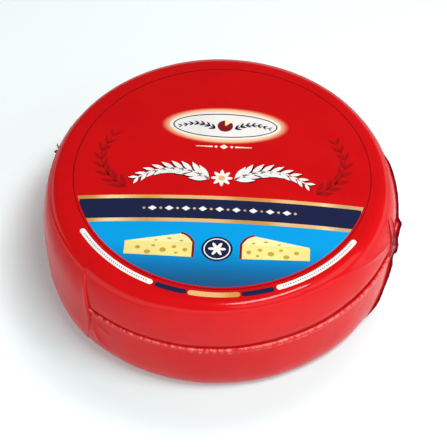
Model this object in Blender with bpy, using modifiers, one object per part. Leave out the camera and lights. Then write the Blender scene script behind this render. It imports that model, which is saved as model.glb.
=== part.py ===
"""A whole wheel of semi-hard cheese, shrink-wrapped in glossy red film.

It is one solid: nothing shows of the cheese, and the film clings to it all over.
The wheel is turned from a profile with a flat top, a bulging side with round shoulders,
and a flat base. A hand-pressed wheel is a little out of round, and the film is drawn in
along a waist line, where the top sheet overlaps the bottom one. Where the film had to
gather, it stands up in fins and creases, which are joined to the wheel.

Angles are seen from above, in degrees from +X, and the side facing the reader is at
-90. The origin is the middle of the base, with +Z up.
"""

import math

import bmesh
import bpy
from mathutils import Vector

# Driving dimensions of the wheel, in metres
HEIGHT = 0.092
CREST_RADIUS = 0.125
SHOULDER = 0.017  # how far the side bulges past the edge of the flat top
SQUARENESS = 3  # of the bulge: 2 would be an ellipse, and more makes it squarer
FLAT_RADIUS = CREST_RADIUS - SHOULDER
MIDDLE = HEIGHT / 2

# Waves round the wheel: how many lobes, how far each reaches, and where one points
OUTLINE_LOBES = ((1, 0.00125, -34.2), (2, 0.0016, 56.9), (3, 0.0027, -23.8))
SEAM_HEIGHT = 0.0569
SEAM_LOBES = ((1, 0.0025, 86.0), (2, 0.0030, 11.0), (3, 0.0009, -23.0))

# The waist: a groove above the seam, and a lip of film along it
GROOVE_DEPTH = 0.0024
GROOVE_RISE = 0.0038  # from the lip's crest up to the middle of the groove
GROOVE_WIDTH = 0.0025
GROOVE_WIDTH_SWING = 0.0007  # it is widest at the right and narrowest in front
LIP_HEIGHT = 0.0010
LIP_WIDTH = 0.0011

# One panel of film bridges the waist, from the left crease round to the back fin
PANEL_START = 156.0
PANEL_END = 228.0
PANEL_FADE = 4.0

# Rows of the profile: steps up the bulge, as angles, and distances from the seam
UPPER_ROWS = (90, 86, 81, 75, 68, 60, 51, 41)
WAIST_ROWS = (0.0090, 0.0066, 0.0052, 0.0038, 0.0024, 0.0011, 0.0, -0.0013, -0.003, -0.006)
LOWER_ROWS = (-2, -14, -27, -40, -52, -62, -71, -79, -85, -90)
TURN_STEPS = 150

# Folds of film: points of (angle, height, how far it stands off the side)
FILM_FOLDS = {
    "right_fin": (
        (15.0, 0.0895, -0.0006),
        (10.1, 0.0830, 0.0012),
        (3.0, 0.0746, 0.0017),
        (-4.2, 0.0625, 0.0017),
        (-5.6, 0.0600, 0.0040),
        (-8.7, 0.0512, 0.0030),
        (-10.9, 0.0442, 0.0038),
        (-12.0, 0.0405, 0.0014),
        (-14.6, 0.0350, 0.0020),
        (-20.5, 0.0260, 0.0014),
        (-25.3, 0.0180, 0.0018),
        (-31.0, 0.0090, -0.0006),
    ),
    "right_pleat_outer": (
        (-11.5, 0.0840, -0.0005),
        (-14.3, 0.0750, 0.0014),
        (-15.8, 0.0660, 0.0020),
        (-15.2, 0.0560, 0.0024),
        (-13.6, 0.0470, 0.0016),
        (-15.0, 0.0390, -0.0006),
    ),
    "right_pleat_inner": (
        (-12.5, 0.0885, -0.0005),
        (-16.0, 0.0845, 0.0007),
        (-18.4, 0.0780, 0.0014),
        (-19.6, 0.0690, 0.0018),
        (-20.6, 0.0600, 0.0018),
        (-20.0, 0.0500, -0.0006),
    ),
    "right_crease": (
        (-15.5, 0.0705, -0.0004),
        (-20.5, 0.0735, 0.0013),
        (-30.2, 0.0795, 0.0011),
        (-40.9, 0.0848, 0.0007),
        (-48.0, 0.0868, -0.0005),
    ),
    "left_crease": (
        (-135.0, 0.0900, -0.0005),
        (-133.6, 0.0830, 0.0010),
        (-132.3, 0.0710, 0.0016),
        (-131.0, 0.0600, 0.0018),
        (-130.9, 0.0490, 0.0022),
        (-131.6, 0.0360, 0.0008),
        (-132.4, 0.0260, -0.0005),
    ),
    "left_crinkle": (
        (-129.6, 0.0490, -0.0004),
        (-128.6, 0.0400, 0.0014),
        (-127.6, 0.0240, 0.0010),
        (-126.8, 0.0130, -0.0005),
    ),
    "back_fin": (
        (170.5, 0.0875, -0.0006),
        (168.0, 0.0810, 0.0032),
        (166.0, 0.0740, 0.0020),
        (163.5, 0.0650, 0.0018),
        (161.5, 0.0580, 0.0038),
        (159.0, 0.0490, 0.0034),
        (156.5, 0.0410, 0.0014),
        (152.0, 0.0300, 0.0020),
        (147.5, 0.0190, 0.0016),
        (142.0, 0.0090, -0.0006),
    ),
    "back_pleat_outer": (
        (159.5, 0.0820, -0.0005),
        (157.0, 0.0730, 0.0014),
        (155.5, 0.0640, 0.0020),
        (155.8, 0.0540, 0.0020),
        (156.5, 0.0460, -0.0006),
    ),
    "back_pleat_inner": (
        (155.5, 0.0860, -0.0005),
        (152.8, 0.0780, 0.0014),
        (151.0, 0.0680, 0.0018),
        (150.2, 0.0590, 0.0016),
        (151.0, 0.0490, -0.0006),
    ),
}
FOLD_THICKNESS = 0.0014
FOLD_ROOT = 0.003  # how deep a fold reaches into the wheel
FOLD_RIPPLE = 0.0006
FOLD_RIPPLE_PITCH = 0.011
FOLD_STEP = 0.0028

# Points this close are one point once the folds are joined
WELD_DISTANCE = 0.00002


def clear_scene():
    for obj in list(bpy.data.objects):
        bpy.data.objects.remove(obj, do_unlink=True)


def new_collection(name, helper=False):
    collection = bpy.data.collections.new(name)
    collection.hide_render = helper
    bpy.context.scene.collection.children.link(collection)
    return collection


def red_film_material():
    """Printed shrink film: a saturated red under a clear gloss."""
    material = bpy.data.materials.new("red_film")
    material.use_nodes = True
    shader = material.node_tree.nodes["Principled BSDF"]
    shader.inputs["Base Color"].default_value = (0.62, 0.011, 0.014, 1.0)
    shader.inputs["Roughness"].default_value = 0.25
    shader.inputs["Metallic"].default_value = 0.0
    shader.inputs["Coat Weight"].default_value = 0.5
    shader.inputs["Coat Roughness"].default_value = 0.08
    return material


def lobes(waves, angle):
    """How far the waves, taken together, reach at an angle."""
    return sum(reach * math.cos(count * math.radians(angle - peak)) for count, reach, peak in waves)


def smooth_step(value):
    value = min(max(value, 0.0), 1.0)
    return value * value * (3 - 2 * value)


def bulge(height):
    """0 at the top and the base, 1 at the middle: a superellipse."""
    lift = abs(height - MIDDLE) / MIDDLE
    return max(0.0, 1 - lift**SQUARENESS) ** (1 / SQUARENESS)


def turned_radius(height):
    """The side, before the wheel is pressed out of round."""
    return FLAT_RADIUS + SHOULDER * bulge(height)


def seam_height(angle):
    return SEAM_HEIGHT + lobes(SEAM_LOBES, angle)


def panel_cover(angle):
    """1 where the panel of film bridges the waist, 0 where the waist shows."""
    turn = angle % 360
    return smooth_step((turn - PANEL_START) / PANEL_FADE) * smooth_step((PANEL_END - turn) / PANEL_FADE)


def waist_relief(angle, above_seam):
    """The groove and the lip, as a distance out from the side."""
    width = GROOVE_WIDTH + GROOVE_WIDTH_SWING * math.cos(2 * math.radians(angle - 5))
    groove = GROOVE_DEPTH * math.exp(-(((above_seam - GROOVE_RISE) / width) ** 2))
    lip = LIP_HEIGHT * math.exp(-((above_seam / LIP_WIDTH) ** 2))
    return (lip - groove) * (1 - panel_cover(angle))


def side_radius(angle, height):
    """The finished radius of the side at an angle and a height."""
    lift = (height - MIDDLE) / MIDDLE
    out_of_round = lobes(OUTLINE_LOBES, angle) * (1 - lift**4)
    return turned_radius(height) + out_of_round + waist_relief(angle, height - seam_height(angle))


def side_point(angle, height):
    turn = math.radians(angle)
    radius = side_radius(angle, height)
    return Vector((radius * math.cos(turn), radius * math.sin(turn), height))


def side_normal(angle, height):
    """Straight out of the bulge, which leans up above the middle and down below it."""
    lift = (height - MIDDLE) / MIDDLE
    across = bulge(height) ** (SQUARENESS - 1) / SHOULDER
    up = math.copysign(abs(lift) ** (SQUARENESS - 1), lift) / MIDDLE
    turn = math.radians(angle)
    return Vector((across * math.cos(turn), across * math.sin(turn), up)).normalized()


def profile_heights():
    """Heights down the side, closest at the waist, where the groove and the lip are."""
    def on_bulge(degrees):
        return MIDDLE + MIDDLE * math.sin(math.radians(degrees))

    upper = [on_bulge(degrees) for degrees in UPPER_ROWS]
    waist = [SEAM_HEIGHT + offset for offset in WAIST_ROWS]
    lower = [on_bulge(degrees) for degrees in LOWER_ROWS]
    return upper + waist + lower


def turned_wheel(collection, material):
    """The profile, from the middle of the top down to the middle of the base, turned by a Screw."""
    points = [(0.0, 0.0, HEIGHT)]
    points += [(turned_radius(height), 0.0, height) for height in profile_heights()]
    points += [(0.0, 0.0, 0.0)]
    mesh = bpy.data.meshes.new("cheese_wheel")
    mesh.from_pydata(points, [(i, i + 1) for i in range(len(points) - 1)], [])
    mesh.materials.append(material)
    wheel = bpy.data.objects.new("cheese_wheel", mesh)
    collection.objects.link(wheel)
    screw = wheel.modifiers.new("turn", "SCREW")
    screw.steps = TURN_STEPS
    screw.render_steps = TURN_STEPS
    screw.use_merge_vertices = True
    screw.merge_threshold = WELD_DISTANCE
    apply_modifiers(wheel)
    return wheel


def apply_modifiers(obj):
    graph = bpy.context.evaluated_depsgraph_get()
    mesh = bpy.data.meshes.new_from_object(obj.evaluated_get(graph))
    obj.modifiers.clear()
    obj.data = mesh


def follow_the_seam(angle, height):
    """Shifts a row of the side with the seam: fully at the waist, not at all at the top and base."""
    if height > SEAM_HEIGHT:
        share = (HEIGHT - height) / (HEIGHT - SEAM_HEIGHT)
    else:
        share = height / SEAM_HEIGHT
    return height + lobes(SEAM_LOBES, angle) * smooth_step(1.6 * share)


def press_out_of_round(wheel):
    """Moves each point of the turned side to where the real wheel and its film have it."""
    for vertex in wheel.data.vertices:
        x, y, height = vertex.co
        on_side = 0.0001 < height < HEIGHT - 0.0001
        if on_side:
            angle = math.degrees(math.atan2(y, x))
            vertex.co = side_point(angle, follow_the_seam(angle, height))


def smooth_route(points):
    """Catmull-Rom curve through (angle, height, stand-off), sampled about every FOLD_STEP."""
    route = []
    padded = [points[0], *points, points[-1]]
    for before, start, end, after in zip(padded, padded[1:], padded[2:], padded[3:]):
        length = (side_point(*start[:2]) - side_point(*end[:2])).length
        samples = max(1, round(length / FOLD_STEP))
        for i in range(samples):
            t = i / samples
            route.append(tuple(
                0.5 * (2 * b + (c - a) * t + (2 * a - 5 * b + 4 * c - d) * t**2
                       + (3 * b - a - 3 * c + d) * t**3)
                for a, b, c, d in zip(before, start, end, after)
            ))
    route.append(points[-1])
    return route


def film_fold(name, points, collection, material):
    """A ribbon of film standing on the side along a route, rippled along its free edge."""
    mesh = bmesh.new()
    rows = []
    travelled = 0.0
    route = smooth_route(points)
    for i, (angle, height, stand_off) in enumerate(route):
        foot = side_point(angle, height)
        out = side_normal(angle, height)
        ahead = side_point(*route[min(i + 1, len(route) - 1)][:2])
        behind = side_point(*route[max(i - 1, 0)][:2])
        sideways = out.cross(ahead - behind).normalized()
        travelled += (foot - behind).length
        ripple = FOLD_RIPPLE * math.sin(2 * math.pi * travelled / FOLD_RIPPLE_PITCH)
        rows.append((
            mesh.verts.new(foot - out * FOLD_ROOT),
            mesh.verts.new(foot + out * stand_off + sideways * ripple),
        ))
    for (low, high), (next_low, next_high) in zip(rows, rows[1:]):
        mesh.faces.new((low, next_low, next_high, high))
    data = bpy.data.meshes.new(name)
    mesh.to_mesh(data)
    mesh.free()
    data.materials.append(material)
    fold = bpy.data.objects.new(name, data)
    collection.objects.link(fold)
    fold.display_type = "WIRE"
    thick = fold.modifiers.new("thickness", "SOLIDIFY")
    thick.thickness = FOLD_THICKNESS
    thick.offset = 0.0
    apply_modifiers(fold)
    return fold


def join_folds(wheel, folds):
    """One Boolean union of the wheel with all of its folds, which are then removed."""
    union = wheel.modifiers.new("folds", "BOOLEAN")
    union.operation = "UNION"
    union.operand_type = "COLLECTION"
    union.collection = folds
    apply_modifiers(wheel)
    for fold in list(folds.objects):
        bpy.data.objects.remove(fold, do_unlink=True)


def clean_mesh(wheel):
    mesh = bmesh.new()
    mesh.from_mesh(wheel.data)
    bmesh.ops.remove_doubles(mesh, verts=mesh.verts, dist=WELD_DISTANCE)
    bmesh.ops.dissolve_degenerate(mesh, dist=WELD_DISTANCE, edges=mesh.edges)
    mesh.to_mesh(wheel.data)
    mesh.free()
    wheel.data.shade_smooth()
    wheel.data.set_sharp_from_angle(angle=math.radians(35))


def main():
    clear_scene()
    parts = new_collection("cheese_wheel")
    folds = new_collection("film_folds", helper=True)
    film = red_film_material()
    wheel = turned_wheel(parts, film)
    press_out_of_round(wheel)
    for name, points in FILM_FOLDS.items():
        film_fold(name, points, folds, film)
    join_folds(wheel, folds)
    clean_mesh(wheel)


main()
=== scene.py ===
# %% [markdown]
# # A wheel of cheese in red shrink film
#
# The object is a squat whole wheel of semi-hard cheese, packed in glossy printed film. The film
# is drawn tight by heat, so it copies the wheel, and where it has too much length it gathers in
# fins, pleats and creases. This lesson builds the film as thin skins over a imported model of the
# wheel, then prints a label on the flat top, and then lights it as a small product studio.
#
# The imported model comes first, because it says how big everything is and where it stands.

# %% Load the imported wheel
import math

import bmesh
import bpy
from mathutils import Matrix, Vector


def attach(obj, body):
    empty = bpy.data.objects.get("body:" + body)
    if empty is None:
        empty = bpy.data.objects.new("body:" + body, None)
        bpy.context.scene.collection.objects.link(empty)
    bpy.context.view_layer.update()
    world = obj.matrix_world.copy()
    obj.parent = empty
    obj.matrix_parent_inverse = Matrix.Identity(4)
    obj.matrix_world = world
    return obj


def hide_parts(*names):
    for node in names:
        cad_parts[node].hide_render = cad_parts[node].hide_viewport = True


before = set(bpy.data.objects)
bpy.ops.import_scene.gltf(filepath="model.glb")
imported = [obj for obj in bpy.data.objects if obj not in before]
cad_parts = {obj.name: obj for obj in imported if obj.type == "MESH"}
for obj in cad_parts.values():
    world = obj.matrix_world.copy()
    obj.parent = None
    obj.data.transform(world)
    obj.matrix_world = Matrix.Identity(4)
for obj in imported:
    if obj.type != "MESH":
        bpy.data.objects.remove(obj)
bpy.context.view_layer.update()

# %% [markdown]
# ## Writing nodes as sums
#
# Shapes and finishes both come from node trees. Wiring nodes one by one hides the sum that they
# stand for, so two small classes let Python write it. `Value` wraps one socket, and plus, minus
# and times on it add the Math nodes. `Tree` makes any other node in one call: its settings are
# set first, and then its sockets are given values or links.

# %% A value and a tree
class Value:
    """One output socket of a node. Sums on it add Math nodes to its tree."""

    def __init__(self, tree, socket):
        self.tree = tree
        self.socket = socket

    def __add__(self, other):
        return self.tree.math("ADD", self, other)

    def __radd__(self, other):
        return self.tree.math("ADD", other, self)

    def __sub__(self, other):
        return self.tree.math("SUBTRACT", self, other)

    def __rsub__(self, other):
        return self.tree.math("SUBTRACT", other, self)

    def __mul__(self, other):
        return self.tree.math("MULTIPLY", self, other)

    def __rmul__(self, other):
        return self.tree.math("MULTIPLY", other, self)

    def __truediv__(self, other):
        return self.tree.math("DIVIDE", self, other)

    def __rtruediv__(self, other):
        return self.tree.math("DIVIDE", other, self)

    def __pow__(self, other):
        return self.tree.math("POWER", self, other)

    def __neg__(self):
        return self.tree.math("MULTIPLY", self, -1.0)

    def math(self, operation, *others):
        """Any other Math operation, such as COSINE or MAXIMUM, with this value first."""
        return self.tree.math(operation, self, *others)

    def between(self, low, high):
        """0 up to low, 1 from high, and a smooth rise from one to the other."""
        return self.tree.node(
            "ShaderNodeMapRange",
            {"interpolation_type": "SMOOTHSTEP"},
            {"Value": self, "From Min": low, "From Max": high},
        )

    def bell(self, middle, width):
        """1 at the middle, falling off to both sides as a bell curve of that width."""
        away = (self - middle) / width
        return (-(away * away)).math("EXPONENT")

    def beside(self, output):
        """Another output of the node that this value comes from."""
        return Value(self.tree, self.tree.find(self.socket.node.outputs, output))


class Tree:
    """A node tree, for geometry or for a material."""

    def __init__(self, tree):
        self.tree = tree

    @staticmethod
    def find(sockets, key):
        """A socket in use, by its name or by its place."""
        used = [socket for socket in sockets if socket.enabled]
        if isinstance(key, int):
            return used[key]
        return next(socket for socket in used if socket.name == key)

    def plug(self, socket, value):
        if isinstance(value, Value):
            self.tree.links.new(value.socket, socket)
        else:
            socket.default_value = value

    def add(self, kind, settings=None, sockets=None):
        """Makes a node: its settings first, then the values or links of its sockets."""
        node = self.tree.nodes.new(kind)
        for name, value in (settings or {}).items():
            if name == "stops":
                self.set_stops(node.color_ramp, value)
            else:
                setattr(node, name, value)
        for key, value in (sockets or {}).items():
            self.plug(self.find(node.inputs, key), value)
        return node

    def node(self, kind, settings=None, sockets=None, output=0):
        """Makes a node, and gives the output that is wanted as a Value."""
        node = self.add(kind, settings, sockets)
        return Value(self, self.find(node.outputs, output))

    @staticmethod
    def set_stops(ramp, stops):
        while len(ramp.elements) < len(stops):
            ramp.elements.new(1.0)
        for element, (place, colour) in zip(ramp.elements, stops):
            element.position = place
            element.color = (*colour, 1.0)

    def math(self, operation, *values):
        return self.node("ShaderNodeMath", {"operation": operation}, dict(enumerate(values)))

    def vector_math(self, operation, *values):
        settings = {"operation": operation}
        return self.node("ShaderNodeVectorMath", settings, dict(enumerate(values)))

    def scaled(self, vector, amount):
        sockets = {"Vector": vector, "Scale": amount}
        return self.node("ShaderNodeVectorMath", {"operation": "SCALE"}, sockets)

    def point(self, x, y, z):
        return self.node("ShaderNodeCombineXYZ", {}, {"X": x, "Y": y, "Z": z})

    def parts(self, vector):
        """The x, y and z of a vector, as three values."""
        x = self.node("ShaderNodeSeparateXYZ", {}, {"Vector": vector}, "X")
        return x, x.beside("Y"), x.beside("Z")

    def noise(self, vector, scale, detail=2.0, roughness=0.5):
        """Smooth random values around 0.5 through space."""
        sockets = {"Vector": vector, "Scale": scale, "Detail": detail, "Roughness": roughness}
        return self.node("ShaderNodeTexNoise", {}, sockets, "Fac")

    def wobble(self, vector, scale, detail=2.0, roughness=0.5):
        """The same random values around 0, for what is pushed both ways."""
        return self.noise(vector, scale, detail, roughness) - 0.5

    def blend(self, share, first, second):
        """A colour from the first to the second as the share goes from 0 to 1."""
        sockets = {"Factor": share, "A": first, "B": second}
        return self.node("ShaderNodeMix", {"data_type": "RGBA"}, sockets)


print("nodes can be written as sums")

# %% [markdown]
# ## Machines that make pieces
#
# A Geometry Nodes tree works like a small machine: sizes go in, a mesh comes out. `new_machine`
# opens a tree with named inputs. `run` puts it on an object, sets those inputs by the sockets'
# identifiers, and turns the result into a plain mesh. The modifier is gone by then, so the
# finished piece is an ordinary mesh.

# %% Opening and running a machine
SOCKET_KINDS = {
    float: "NodeSocketFloat",
    int: "NodeSocketInt",
    "object": "NodeSocketObject",
    "material": "NodeSocketMaterial",
    "geometry": "NodeSocketGeometry",
}


def add_input(group, label, kind, default=None):
    socket = group.interface.new_socket(label, in_out="INPUT", socket_type=SOCKET_KINDS[kind])
    if default is not None:
        socket.default_value = default


def new_machine(name, sizes, objects=()):
    """A geometry tree with inputs for objects, sizes and a material, and a Value for each."""
    group = bpy.data.node_groups.new(name, "GeometryNodeTree")
    group.interface.new_socket("Geometry", in_out="OUTPUT", socket_type=SOCKET_KINDS["geometry"])
    for label in objects:
        add_input(group, label, "object")
    for label, size in sizes.items():
        add_input(group, label, type(size), size)
    add_input(group, "Material", "material")
    tree = Tree(group)
    labels = [*objects, *sizes, "Material"]
    first = tree.node("NodeGroupInput", output=labels[0])
    return tree, {label: first.beside(label) for label in labels}


def hand_over(tree, geometry, material, smooth):
    """The end of every machine: real faces, one material, and smooth or flat shading."""
    real = tree.node("GeometryNodeRealizeInstances", {}, {"Geometry": geometry})
    sockets = {"Geometry": real, "Shade Smooth": smooth}
    shaded = tree.node("GeometryNodeSetShadeSmooth", {}, sockets)
    painted = tree.node("GeometryNodeSetMaterial", {}, {"Geometry": shaded, "Material": material})
    tree.add("NodeGroupOutput", {}, {"Geometry": painted})


def from_object(tree, piece):
    """The mesh of a helper object that a machine reads."""
    return tree.node("GeometryNodeObjectInfo", {}, {"Object": piece}, "Geometry")


def unit_grid(tree, columns, rows):
    """A flat grid, and the places of its points from -0.5 to 0.5, across and up."""
    sockets = {"Size X": 1.0, "Size Y": 1.0, "Vertices X": columns, "Vertices Y": rows}
    grid = tree.node("GeometryNodeMeshGrid", {}, sockets, "Mesh")
    across, up, flat = tree.parts(tree.node("GeometryNodeInputPosition"))
    return grid, across, up


def marked(tree, geometry, label, value):
    """The geometry with a number on each point, which a material can read by its label."""
    sockets = {"Geometry": geometry, "Name": label, "Value": value}
    return tree.node("GeometryNodeStoreNamedAttribute", {"data_type": "FLOAT"}, sockets)


def moved(tree, geometry, position):
    sockets = {"Geometry": geometry, "Position": position}
    return tree.node("GeometryNodeSetPosition", {}, sockets)


def link(name, mesh):
    piece = bpy.data.objects.new(name, mesh)
    bpy.context.scene.collection.objects.link(piece)
    return piece


def flatten(piece):
    """Turns what the modifiers make into the piece's own mesh, and removes them."""
    graph = bpy.context.evaluated_depsgraph_get()
    mesh = bpy.data.meshes.new_from_object(piece.evaluated_get(graph))
    piece.modifiers.clear()
    piece.data = mesh
    mesh.name = piece.name
    return piece


def run(machine, name, values):
    """Makes a piece with a machine. Each value goes to the input of that label."""
    piece = link(name, bpy.data.meshes.new(name))
    modifier = piece.modifiers.new("machine", "NODES")
    modifier.node_group = machine.tree
    sockets = [item for item in machine.tree.interface.items_tree if item.in_out == "INPUT"]
    identifiers = {socket.name: socket.identifier for socket in sockets}
    for label, value in values.items():
        modifier[identifiers[label]] = value
    flatten(piece)
    piece.data.materials.clear()
    piece.data.materials.append(values["Material"])
    piece.data.polygons.foreach_set("material_index", [0] * len(piece.data.polygons))
    print(name, "has", len(piece.data.vertices), "points and", len(piece.data.polygons), "faces")
    return piece


def pattern_piece(name, points, edges, numbers=None):
    """A helper mesh that a machine reads: points joined by edges, with named numbers on them."""
    mesh = bpy.data.meshes.new(name)
    mesh.from_pydata(points, edges, [])
    for label, values in (numbers or {}).items():
        mesh.attributes.new(label, "FLOAT", "POINT").data.foreach_set("value", values)
    return link(name, mesh)


def discard(*pieces):
    for piece in pieces:
        bpy.data.objects.remove(piece, do_unlink=True)


print("machines can be opened and run")

# %% [markdown]
# ## The rule of the side
#
# The wheel was pressed in a mould, so its side bulges between the flat top and the flat base,
# with round shoulders. A superellipse draws that: its one power says how square the bulge is.
# Cheese sags and dries unevenly, so the wheel is a little out of round, by one, two and three
# waves. The seam of the film wanders up and down in the same way.
#
# Every piece of film follows this rule, so it is written once, as a node group that turns a
# place on the side into a point in space. A place is a turn round the wheel, as a distance along
# its widest circle, and a height.

# %% Sizes of the wheel, in metres
HEIGHT = 0.092
MIDDLE = HEIGHT / 2
CREST_RADIUS = 0.125
SHOULDER = 0.017
SQUARENESS = 3
FLAT_RADIUS = CREST_RADIUS - SHOULDER
OUTLINE_WAVES = ((1, 0.00125, -34.2), (2, 0.0016, 56.9), (3, 0.0027, -23.8))
SEAM_HEIGHT = 0.0569
SEAM_WAVES = ((1, 0.0025, 86.0), (2, 0.0030, 11.0), (3, 0.0009, -23.0))
print("the side bulges", SHOULDER, "m past the edge of the flat top")


# %% Waves and the bulge, for numbers and for nodes
def waves_at(turn, waves, cosine=math.cos):
    """How far the waves reach, taken together, at a turn in radians."""
    return sum(reach * cosine(count * (turn - math.radians(peak))) for count, reach, peak in waves)


def node_cosine(value):
    return value.math("COSINE")


def bulge_at(height):
    """How far out the side is, from 0 at the top and base to 1 at the middle, as nodes."""
    lift = ((height - MIDDLE) / MIDDLE).math("ABSOLUTE")
    return (1.0 - lift**SQUARENESS).math("MAXIMUM", 0.0) ** (1 / SQUARENESS)


def side_radius(height):
    lift = abs(height - MIDDLE) / MIDDLE
    return FLAT_RADIUS + SHOULDER * max(0.0, 1 - lift**SQUARENESS) ** (1 / SQUARENESS)


def along(degrees):
    """A turn in degrees as a distance along the widest circle."""
    return CREST_RADIUS * math.radians(degrees)


print("the side is widest at", side_radius(MIDDLE), "m")

# %% [markdown]
# ## A place on the side, as a node group
#
# The group takes a place, a radial reach, and a stand-off straight out of the film. It also adds
# the small unevenness of a hand-made wheel: slow noise of a few tenths of a millimetre, which
# shows only as soft bends in the reflections. The share lets the waves fade out towards the
# middle of hidden discs, so that all columns meet at one pole.

# %% The side group
UNEVENNESS = 0.0006  # the noise itself stays mostly within half of this
UNEVEN_SCALE = 26.0


def side_group():
    group = bpy.data.node_groups.new("place_on_the_side", "GeometryNodeTree")
    for label in ("Along", "Height", "Reach", "Stand Off", "Share"):
        add_input(group, label, float, 1.0 if label == "Share" else 0.0)
    for label in ("Position", "Outward"):
        group.interface.new_socket(label, in_out="OUTPUT", socket_type="NodeSocketVector")
    tree = Tree(group)
    place = tree.node("NodeGroupInput", output="Along")
    turn = place / CREST_RADIUS
    height = place.beside("Height")
    share = place.beside("Share")
    lift = (height - MIDDLE) / MIDDLE
    bulge = bulge_at(height)
    cosine = turn.math("COSINE")
    sine = turn.math("SINE")
    fade = (1.0 - lift * lift * lift * lift).math("MAXIMUM", 0.0) * share
    out_of_round = waves_at(turn, OUTLINE_WAVES, node_cosine) * fade
    around = tree.point(cosine * CREST_RADIUS, sine * CREST_RADIUS, height)
    uneven = tree.wobble(around, UNEVEN_SCALE, 1.5) * (2.0 * UNEVENNESS) * fade
    radius = bulge * SHOULDER + FLAT_RADIUS + out_of_round + uneven + place.beside("Reach")
    steep = bulge ** (SQUARENESS - 1) / SHOULDER
    upward = lift * lift.math("ABSOLUTE") ** (SQUARENESS - 2) / MIDDLE
    leaning = tree.point(cosine * steep, sine * steep, upward)
    outward = tree.vector_math("NORMALIZE", leaning)
    foot = tree.point(cosine * radius, sine * radius, height)
    position = tree.vector_math("ADD", foot, tree.scaled(outward, place.beside("Stand Off")))
    tree.add("NodeGroupOutput", {}, {"Position": position, "Outward": outward})
    return group


SIDE = side_group()


def on_side(tree, distance, height, **more):
    """The point of the side at a distance along the widest circle and a height."""
    sockets = {"Along": distance, "Height": height}
    sockets.update({label.replace("_", " "): value for label, value in more.items()})
    return tree.node("GeometryNodeGroup", {"node_tree": SIDE}, sockets, "Position")


print("the side group has", len(SIDE.nodes), "nodes")

# %% [markdown]
# ## Folds of the film
#
# Film shrinks evenly only on a ball. On a wheel, the spare film of the bag's two ends gathers
# at the right and at the back in a fin with pleats beside it, and a few creases run off
# to the front. Each is given as a route on the side: turn in degrees, height, and how far the
# film stands off there. A smooth cubic curve through the points makes the route.

# %% Routes of the folds
FIN_ROUTES = {
    "right_fin": (
        (15.0, 0.0895, -0.0006),
        (10.1, 0.0830, 0.0012),
        (3.0, 0.0746, 0.0017),
        (-4.2, 0.0625, 0.0017),
        (-5.6, 0.0600, 0.0040),
        (-8.7, 0.0512, 0.0030),
        (-10.9, 0.0442, 0.0038),
        (-12.0, 0.0405, 0.0014),
        (-14.6, 0.0350, 0.0020),
        (-20.5, 0.0260, 0.0014),
        (-25.3, 0.0180, 0.0018),
        (-31.0, 0.0090, -0.0006),
    ),
    "back_fin": (
        (170.5, 0.0875, -0.0006),
        (168.0, 0.0810, 0.0032),
        (166.0, 0.0740, 0.0020),
        (163.5, 0.0650, 0.0018),
        (161.5, 0.0580, 0.0038),
        (159.0, 0.0490, 0.0034),
        (156.5, 0.0410, 0.0014),
        (152.0, 0.0300, 0.0020),
        (147.5, 0.0190, 0.0016),
        (142.0, 0.0090, -0.0006),
    ),
}
PLEAT_ROUTES = {
    "right_pleat_outer": (
        (-11.5, 0.0840, -0.0005),
        (-14.3, 0.0750, 0.0014),
        (-15.8, 0.0660, 0.0020),
        (-15.2, 0.0560, 0.0024),
        (-13.6, 0.0470, 0.0016),
        (-15.0, 0.0390, -0.0006),
    ),
    "right_pleat_inner": (
        (-12.5, 0.0885, -0.0005),
        (-16.0, 0.0845, 0.0007),
        (-18.4, 0.0780, 0.0014),
        (-19.6, 0.0690, 0.0018),
        (-20.6, 0.0600, 0.0018),
        (-20.0, 0.0500, -0.0006),
    ),
    "back_pleat_outer": (
        (159.5, 0.0820, -0.0005),
        (157.0, 0.0730, 0.0014),
        (155.5, 0.0640, 0.0020),
        (155.8, 0.0540, 0.0020),
        (156.5, 0.0460, -0.0006),
    ),
    "back_pleat_inner": (
        (155.5, 0.0860, -0.0005),
        (152.8, 0.0780, 0.0014),
        (151.0, 0.0680, 0.0018),
        (150.2, 0.0590, 0.0016),
        (151.0, 0.0490, -0.0006),
    ),
}
CREASE_ROUTES = {
    "right_crease": (
        (-15.5, 0.0705, 0.0),
        (-20.5, 0.0735, 0.0013),
        (-30.2, 0.0795, 0.0011),
        (-40.9, 0.0848, 0.0007),
        (-48.0, 0.0868, 0.0),
    ),
    "left_crinkle": (
        (-129.6, 0.0490, 0.0),
        (-128.6, 0.0400, 0.0014),
        (-127.6, 0.0240, 0.0010),
        (-126.8, 0.0130, 0.0),
    ),
    "left_crinkle_low": (
        (-131.2, 0.0440, 0.0),
        (-129.8, 0.0360, 0.0011),
        (-127.4, 0.0290, 0.0013),
        (-124.6, 0.0200, 0.0006),
        (-123.0, 0.0130, 0.0),
    ),
    "left_crinkle_high": (
        (-129.4, 0.0470, 0.0),
        (-127.2, 0.0455, 0.0009),
        (-124.6, 0.0425, 0.0010),
        (-122.6, 0.0380, 0.0),
    ),
}
ROUTE_STEP = 0.0012


def curve_point(four_stops, t):
    """The point at a share t between the middle two of four stops."""
    return [
        0.5 * (2 * b + (c - a) * t + (2 * a - 5 * b + 4 * c - d) * t**2
               + (3 * b - a - 3 * c + d) * t**3)
        for a, b, c, d in zip(*four_stops)
    ]


def smooth_curve(stops, steps_between):
    """A smooth curve through the stops. steps_between says how many steps a span gets."""
    curve = []
    ends = [stops[0], *stops, stops[-1]]
    for four_stops in zip(ends, ends[1:], ends[2:], ends[3:]):
        steps = steps_between(four_stops[1], four_stops[2])
        curve += [curve_point(four_stops, i / steps) for i in range(steps)]
    return [*curve, list(stops[-1])]


def route_steps(start, end):
    length = math.hypot(along(end[0] - start[0]), end[1] - start[1])
    return max(1, round(length / ROUTE_STEP))


def smooth_route(stops):
    """The route through the stops as (distance along, height, stand-off), closely spaced."""
    curve = smooth_curve(stops, route_steps)
    return [(along(degrees), height, stand_off) for degrees, height, stand_off in curve]


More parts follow.
